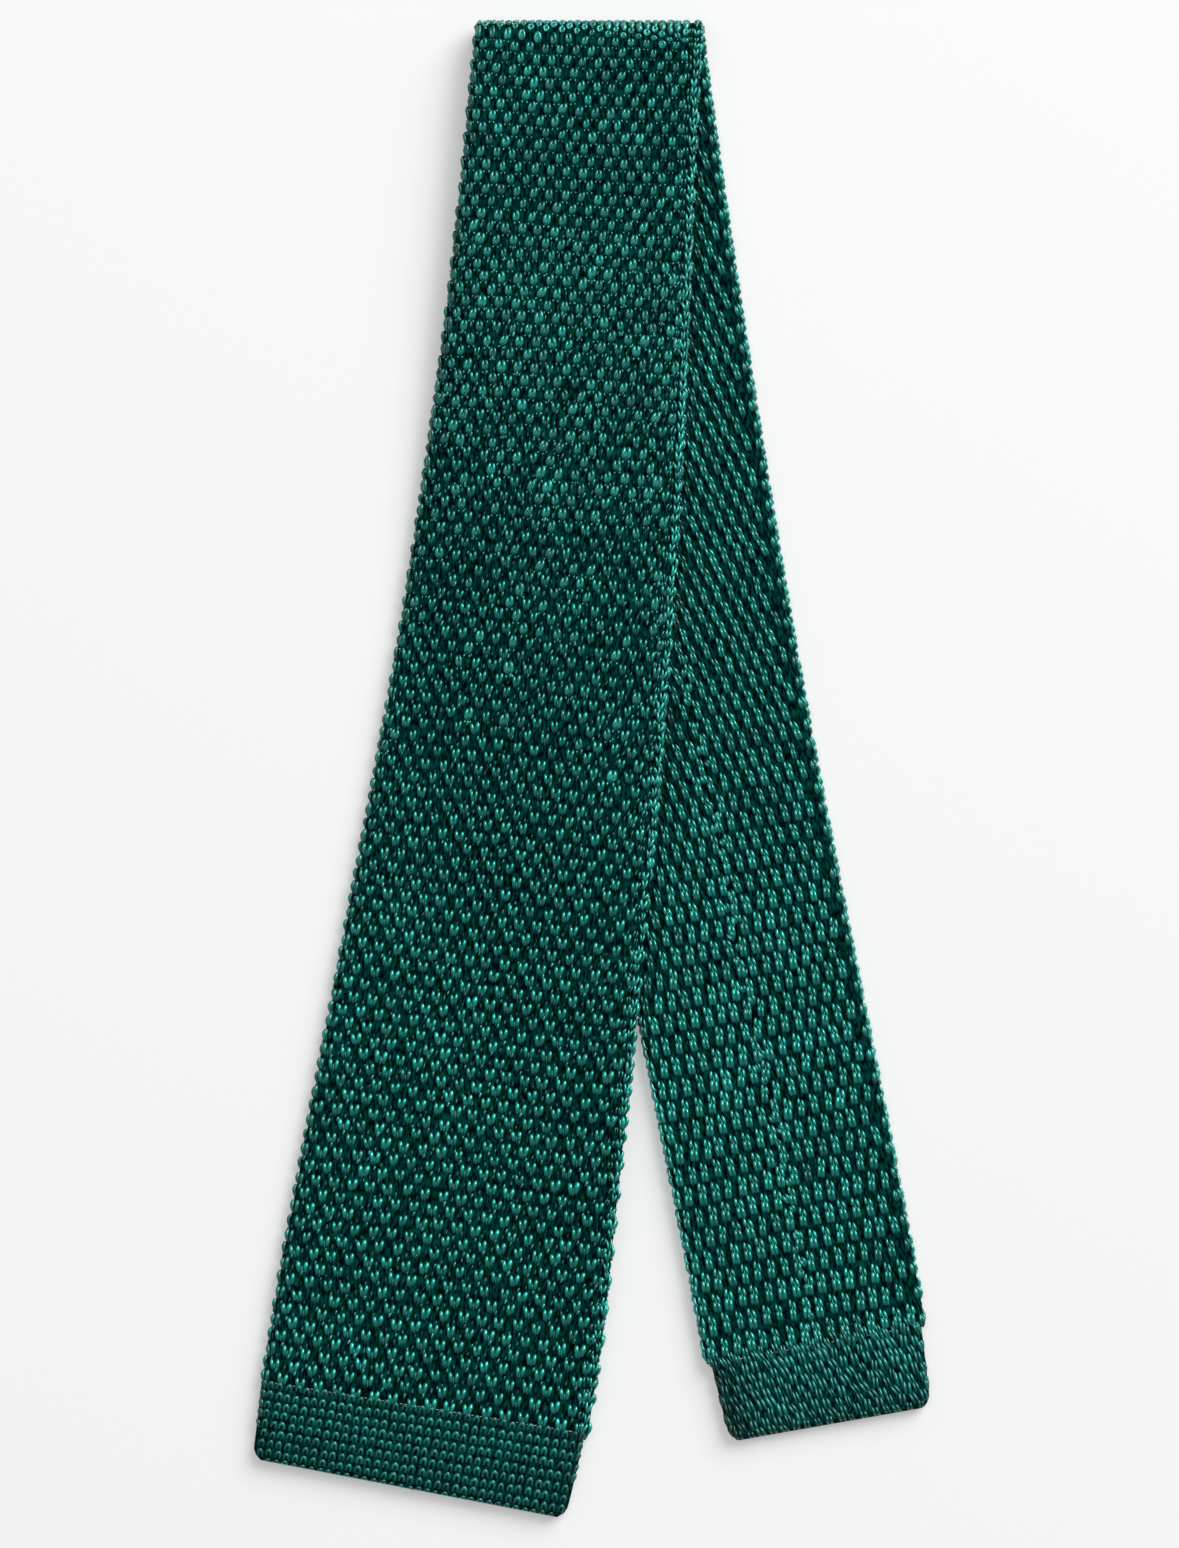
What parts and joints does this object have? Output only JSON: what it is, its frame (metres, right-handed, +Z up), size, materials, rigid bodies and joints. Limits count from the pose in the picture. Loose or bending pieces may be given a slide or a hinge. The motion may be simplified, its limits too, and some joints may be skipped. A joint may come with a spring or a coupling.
{
  "type": "knit tie",
  "caption": "Square-ended knit necktie of pressed tubular knitting, folded once and laid flat with the wide blade on top and the narrow blade under it.",
  "frame": {"origin": "middle of the underside of the whole box, on the surface that the tie lies on", "axes": "+Y along the tie towards the folded edge, +X across it towards the narrow blade, +Z up from the surface that it lies on"},
  "size_m": [0.131, 0.2918, 0.0075],
  "materials": {
    "body_knit": "raised silk knit stitches, lustrous deep green, in staggered rows over a dark ground",
    "band_knit": "plain fine silk knit, the same deep green"
  },
  "bodies": {
    "root": {"knit_tube": "body_knit", "wide_end_band": "band_knit", "narrow_end_band": "band_knit"}
  },
  "joints": []
}
